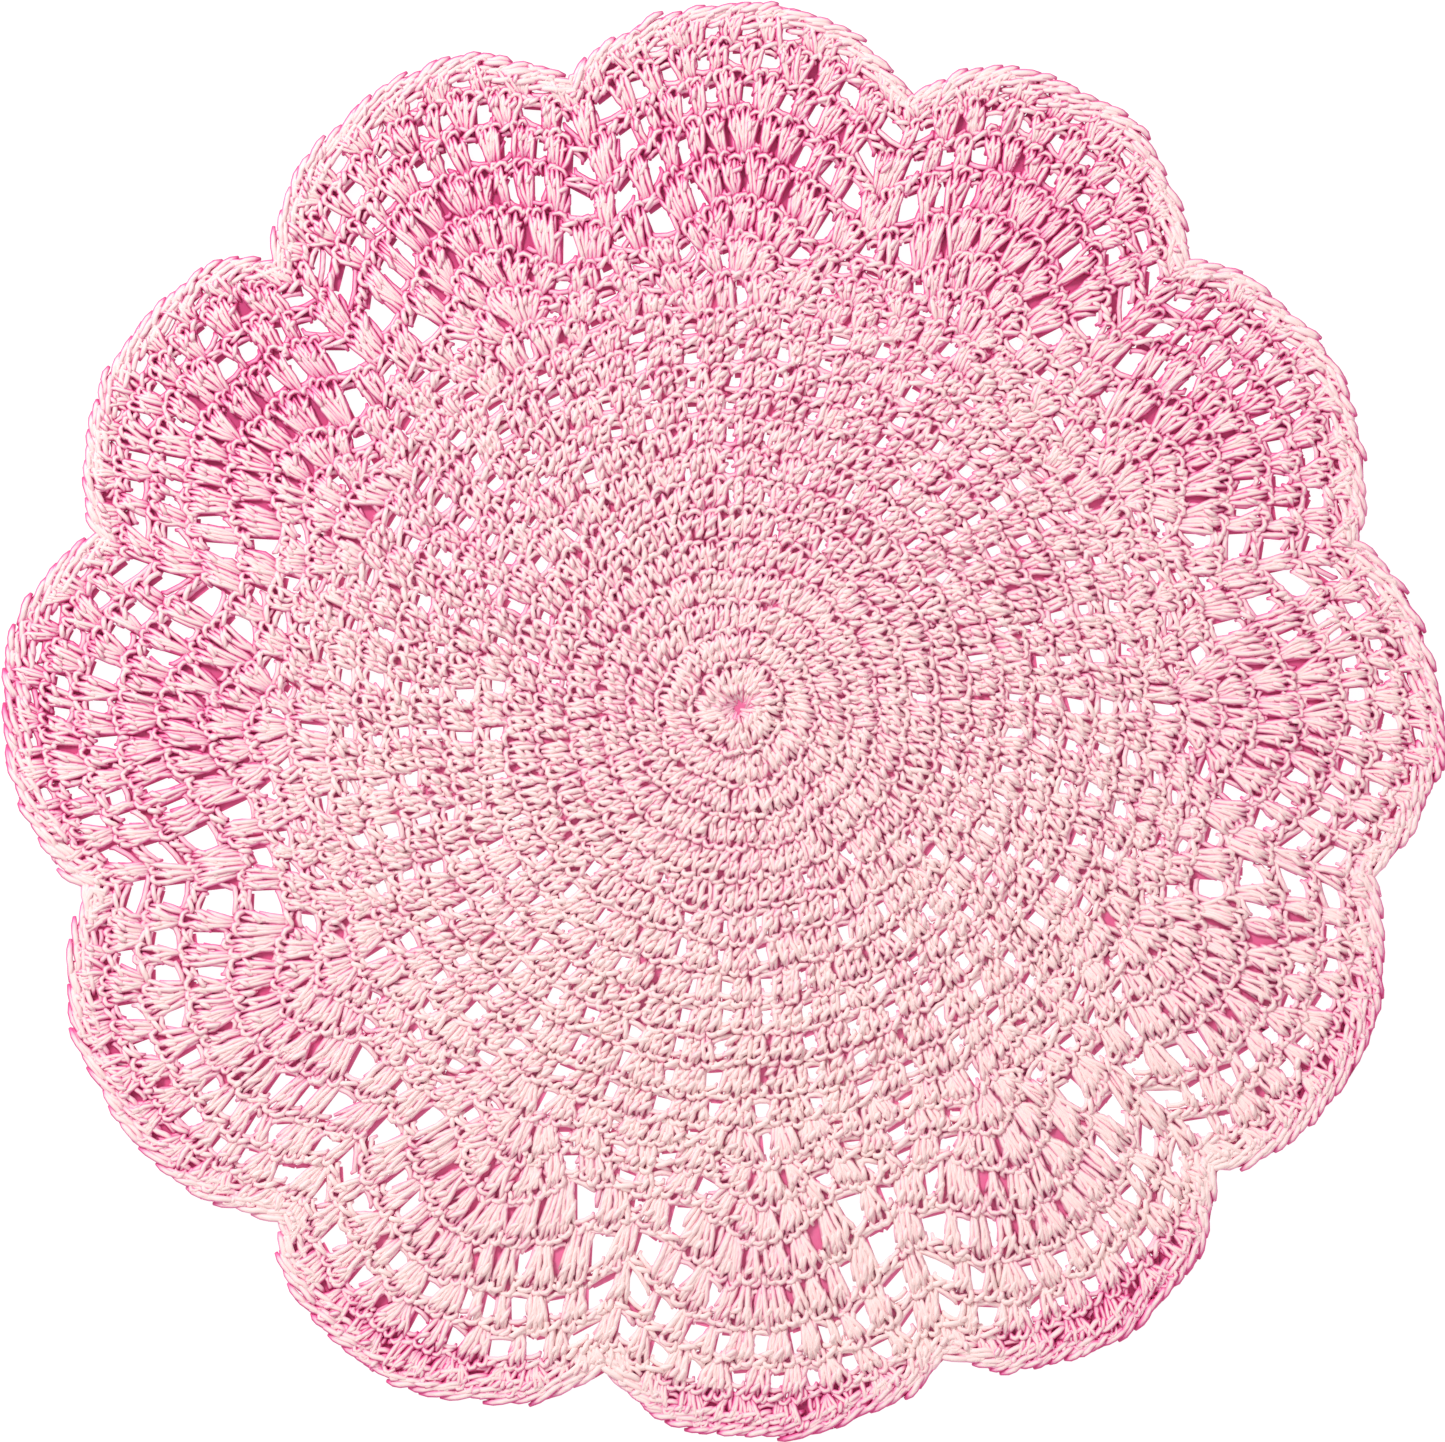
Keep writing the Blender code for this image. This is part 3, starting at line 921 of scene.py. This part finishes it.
def yarn_material():
    """Pink cotton, with painted shade and highlight: deep rose low between the strands and pink on
    their flanks as painted shade, and cream on their crowns as a painted highlight.
    """
    tree = Tree("cotton yarn")
    spot = tree.node("ShaderNodeTexCoord", output=3)
    height = tree.node("ShaderNodeSeparateXYZ", values={0: spot}, output=2)
    facing = tree.node("ShaderNodeNewGeometry", output=1)
    upward = tree.node("ShaderNodeSeparateXYZ", values={0: facing}, output=2)
    depth = tree.node("ShaderNodeAttribute", {"attribute_name": "depth"}, output=2)
    patch = tree.node("ShaderNodeTexNoise", values={"Vector": spot, "Scale": 260.0, "Detail": 2.0})
    # Painted shade and highlight: low places and flanks that face sideways take the deep colours,
    # high crowns that face up take the cream.
    level = height.between(0.6 * MM, 2.70 * MM) * 0.52 + upward.between(0.15, 1.0) * 0.48
    # The painted shade depth scales how dark the flanks' painted shade is; the noise adds random
    # tone.
    level = 1.0 - (1.0 - level) * depth + (patch - 0.5) * 0.26
    stops = (
        (0.02, PAINTED_SHADE_CRIMSON),
        (0.24, PAINTED_SHADE_DEEP_ROSE),
        (0.44, PAINTED_SHADE_PINK),
        (0.66, YARN_PINK),
        (0.93, PAINTED_HIGHLIGHT_CREAM),
    )
    colour = tree.node("ShaderNodeValToRGB", {"stops": stops}, {"Fac": level})
    map_uv = tree.node("ShaderNodeUVMap", {"uv_map": "yarn"})
    along = tree.node("ShaderNodeSeparateXYZ", values={0: map_uv}, output=0)
    around = tree.node("ShaderNodeSeparateXYZ", values={0: map_uv}, output=1)
    ply = ((around * 3.0 + along * 2.2) * (2.0 * math.pi)).sine() * 0.5 + 0.5
    bump = tree.node("ShaderNodeBump", values={"Height": ply, "Strength": 0.4, "Distance": 0.12 * MM})
    tree.principled({"Base Color": colour, "Roughness": 0.86, "Normal": bump})
    return tree.material


# Colours of the painted shade web, deeper as its painted shade depth grows.
PAINTED_SHADE_STOPS = (
    (0.05, (0.80, 0.18, 0.36, 1.0)),
    (0.35, (0.70, 0.10, 0.26, 1.0)),
    (0.80, (0.56, 0.06, 0.20, 1.0)),
)


def painted_shade_material():
    """Painted shade: the deep rose that shows between the strands, darker where its painted shade
    depth is greater.
    """
    tree = Tree("yarn shade")
    spot = tree.node("ShaderNodeTexCoord", output=3)
    patch = tree.node("ShaderNodeTexNoise", values={"Vector": spot, "Scale": 400.0, "Detail": 3.0})
    depth = tree.node("ShaderNodeAttribute", {"attribute_name": "depth"}, output=2)
    level = depth.between(0.3, 2.0) + (patch - 0.5) * 0.3
    colour = tree.node("ShaderNodeValToRGB", {"stops": PAINTED_SHADE_STOPS}, {"Fac": level})
    tree.principled({"Base Color": colour, "Roughness": 0.9})
    return tree.material


def floor_material():
    """So evenly lit that it shows white through every opening."""
    tree = Tree("pale floor")
    tree.principled({"Base Color": (0.12, 0.12, 0.12, 1.0), "Roughness": 0.9})
    tree.principled({"Emission Color": (1.0, 1.0, 1.0, 1.0), "Emission Strength": 0.95})
    return tree.material


# The photograph's frame: the size of a pixel at the doily and where the first round's middle is.
PIXEL_MM = 0.2088
CENTRE_X_PX = 737.5
CENTRE_Y_PX = 708.5
FRAME_WIDTH_PX = 1445
FRAME_HEIGHT_PX = 1442
CAMERA_HEIGHT = 1.4
SENSOR_MM = 36.0

KEY_PLACE = (-0.75, 0.85, 0.95)
KEY_SIZE = 0.35
KEY_WATTS = 15.5
SURROUND_COLOUR = (1.0, 0.98, 0.98, 1.0)
SURROUND_STRENGTH = 0.75


def place_camera():
    """Straight above the middle of the frame, with the doily as large in it as in the photograph."""
    data = bpy.data.cameras.new("camera")
    camera = bpy.data.objects.new("camera", data)
    middle_x = (FRAME_WIDTH_PX / 2.0 - CENTRE_X_PX) * PIXEL_MM * MM
    middle_y = (CENTRE_Y_PX - FRAME_HEIGHT_PX / 2.0) * PIXEL_MM * MM
    camera.location = (middle_x, middle_y, CAMERA_HEIGHT)
    data.sensor_width = SENSOR_MM
    data.lens = SENSOR_MM * CAMERA_HEIGHT / (FRAME_WIDTH_PX * PIXEL_MM * MM)
    data.dof.use_dof = False
    bpy.context.scene.collection.objects.link(camera)
    bpy.context.scene.camera = camera


def place_lights():
    """A broad soft light from the upper left, and an even pale surround."""
    data = bpy.data.lights.new("key", "AREA")
    data.shape = "DISK"
    data.size = KEY_SIZE
    data.energy = KEY_WATTS
    key = bpy.data.objects.new("key", data)
    key.location = KEY_PLACE
    key.rotation_euler = look_from(key.location)
    bpy.context.scene.collection.objects.link(key)
    world = bpy.data.worlds.new("surround")
    world.use_nodes = True
    background = world.node_tree.nodes["Background"]
    background.inputs["Color"].default_value = SURROUND_COLOUR
    background.inputs["Strength"].default_value = SURROUND_STRENGTH
    bpy.context.scene.world = world


def look_from(location):
    """The turn that points a lamp at the origin."""
    return (-location).to_track_quat("-Z", "Y").to_euler()


def make_floor():
    bpy.ops.mesh.primitive_plane_add(size=6.0, location=(0.0, 0.0, -0.0002))
    floor = bpy.context.object
    floor.name = "floor"
    floor.data.materials.append(floor_material())


# Rounds that share a piece, so that no piece holds too many triangles.
Band = namedtuple("Band", "name first last")
BANDS = (
    Band("mesh_middle", 1, 9),
    Band("mesh_outer", 10, 13),
    Band("fan_roots", 14, 16),
    Band("fans_inner", 17, 18),
    Band("fans_outer", 19, 20),
    Band("fans_rim", 21, 21),
)


def main():
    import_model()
    place_camera()
    place_lights()
    make_floor()
    bpy.context.scene.view_settings.view_transform = "Standard"
    cotton = yarn_material()
    pieces = []
    chance = np.random.default_rng(SEED)
    all_runs = {number: round_runs(number, chance) for number in range(1, LAST_PETAL_ROUND + 1)}
    for band in BANDS:
        yarn = Yarn()
        for work_round in range(band.first, band.last + 1):
            add_round(yarn, work_round, all_runs, chance)
        if band.last == LAST_PETAL_ROUND:
            for rope in RIM_ROPES:
                ends = rim_ends(rope, ROPE_LINKS)
                yarn.add(link_paths(ends, ROPE_STRAND, chance), 6, 5, ROPE_RADIUS_MM, chance)
            nub = tuple(np.array([end] * NUB_STRANDS) * MM for end in (NUB_FROM_MM, NUB_TO_MM))
            yarn.add(link_paths(nub, NUB_STRAND, chance), 9, 6, ROPE_RADIUS_MM, chance)
        pieces.append(yarn.piece(band.name, cotton))
    painted_shade_web = painted_shade_sheet(painted_shade_material(), all_runs)
    for piece in pieces + [painted_shade_web]:
        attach(piece, "root")
    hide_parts("doily")


main()
